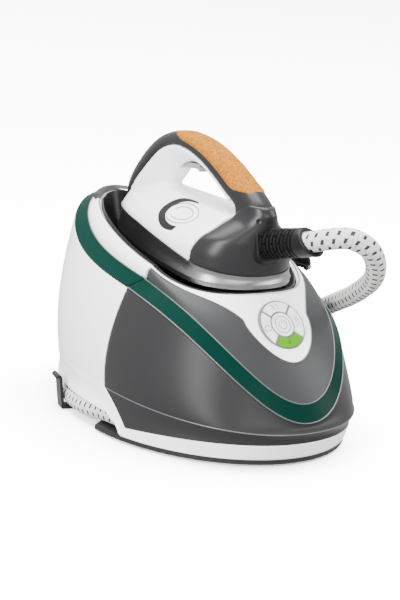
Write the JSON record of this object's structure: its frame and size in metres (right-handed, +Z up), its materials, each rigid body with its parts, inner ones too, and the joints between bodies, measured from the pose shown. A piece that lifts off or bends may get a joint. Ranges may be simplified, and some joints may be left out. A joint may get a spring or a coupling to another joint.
{
  "type": "steam generator iron",
  "caption": "Steam generator ironing station: oval base with sloping control panel, parked iron with arched cork-inlaid handle, ribbed boot and textile steam hose",
  "frame": {"origin": "on the floor under the middle of the base's outline", "axes": "+Z up, the control panel faces -Y, the iron's nose points to +Y, +X is the right side seen from the control panel"},
  "size_m": [0.3367, 0.4919, 0.2453],
  "materials": {
    "white_shell": "smooth glossy white moulding",
    "grey_shell": "satin metallic dark grey",
    "grey_panel": "satin metallic grey",
    "green_band": "glossy dark green",
    "base_grey": "dark grey moulding",
    "foot_rubber": "matte black rubber",
    "black_plastic": "satin black moulding",
    "tank_plastic": "cloudy water tank moulding",
    "steel": "bare steel",
    "boiler_metal": "cast aluminium",
    "copper_tube": "drawn tube",
    "board_green": "coated circuit board",
    "silicone": "clear silicone tube",
    "button_white": "fine satin white button",
    "button_green": "lime green button",
    "tray_black": "satin black tray",
    "handle_grey": "satin dark grey moulding",
    "cork": "fine grained cork",
    "trigger_grey": "translucent grey moulding",
    "sole_metal": "brushed metal",
    "casting": "cast aluminium",
    "boot_rubber": "black rubber with ribs",
    "lamp": "small clear lamp",
    "ceramic": "pale insulating ceramic",
    "hose_textile": "off-white woven sleeve with dark dashes"
  },
  "bodies": {
    "base": {"rear_shell": "white_shell", "front_shell": "grey_shell", "front_skirt": "white_shell", "front_band": "green_band", "left_band": "green_band", "right_band": "green_band", "deck_panel": "white_shell", "upper_front_panel": "grey_panel", "base_plate": "base_grey", "feet": "foot_rubber", "base_screws": "steel", "hose_channel": "base_grey", "hose_gland": "base_grey", "hose_hook": "black_plastic", "mains_inlet": "black_plastic", "water_tank": "tank_plastic", "filler_chute": "tank_plastic", "flap_pin": "steel", "flap_bracket": "base_grey", "boiler": "boiler_metal", "boiler_heater": "boiler_metal", "boiler_thermostat": "black_plastic", "pump": "casting", "pump_cradle": "foot_rubber", "water_tubes": "silicone", "steam_tube": "copper_tube", "control_board": "board_green", "dial_cup": "button_white", "status_window": "button_white", "iron_tray": "tray_black", "heel_rest": "tray_black", "nose_rest": "tray_black", "nose_collar": "grey_panel", "nose_visor": "base_grey", "steam_hose": "hose_textile"},
    "iron": {"soleplate": "sole_metal", "sole_skirt": "sole_metal", "heater_casting": "casting", "heat_shield": "black_plastic", "iron_body": "white_shell", "heel_cover": "handle_grey", "handle_shell": "handle_grey", "cork_grip": "cork", "handle_core": "white_shell", "trigger_axle": "steel", "boot_frame": "boot_rubber", "hose_boot": "boot_rubber", "hose_collar": "boot_rubber", "iron_lamp": "lamp", "iron_thermostat": "black_plastic", "thermal_fuse": "ceramic", "terminal_block": "ceramic", "iron_screws": "steel"},
    "trigger": {"steam_trigger": "trigger_grey"},
    "power_key": {"power_button": "button_white"},
    "turbo_key": {"turbo_button": "button_white"},
    "steam_key": {"steam_button": "button_white"},
    "eco_key": {"eco_button": "button_green"},
    "flap": {"filler_flap": "base_grey"}
  },
  "joints": [
    {"name": "iron_lift", "type": "slide", "parent": "base", "child": "iron", "axis": [0, 0, 1], "range_m": [0, 0.06], "deforming": ["steam_hose"]},
    {"name": "trigger_squeeze", "type": "hinge", "parent": "iron", "child": "trigger", "pos_m": [0, 0.0275, 0.2195], "axis": [-1, 0, 0], "range_deg": [0, 8], "stiffness_Nm_per_rad": 0.05, "springref_deg": -5.73},
    {"name": "power_press", "type": "slide", "parent": "base", "child": "power_key", "axis": [0, 0.7986, -0.6018], "range_m": [0, 0.001], "stiffness_N_per_m": 300, "springref_m": -0.001},
    {"name": "turbo_press", "type": "slide", "parent": "base", "child": "turbo_key", "axis": [0, 0.7986, -0.6018], "range_m": [0, 0.001], "stiffness_N_per_m": 300, "springref_m": -0.001},
    {"name": "steam_press", "type": "slide", "parent": "base", "child": "steam_key", "axis": [0, 0.7986, -0.6018], "range_m": [0, 0.001], "stiffness_N_per_m": 300, "springref_m": -0.001},
    {"name": "eco_press", "type": "slide", "parent": "base", "child": "eco_key", "axis": [0, 0.7986, -0.6018], "range_m": [0, 0.001], "stiffness_N_per_m": 300, "springref_m": -0.001},
    {"name": "flap_open", "type": "hinge", "parent": "base", "child": "flap", "pos_m": [0.08044, -0.037, 0.13474], "axis": [0, 1, 0], "range_deg": [0, 95]}
  ]
}
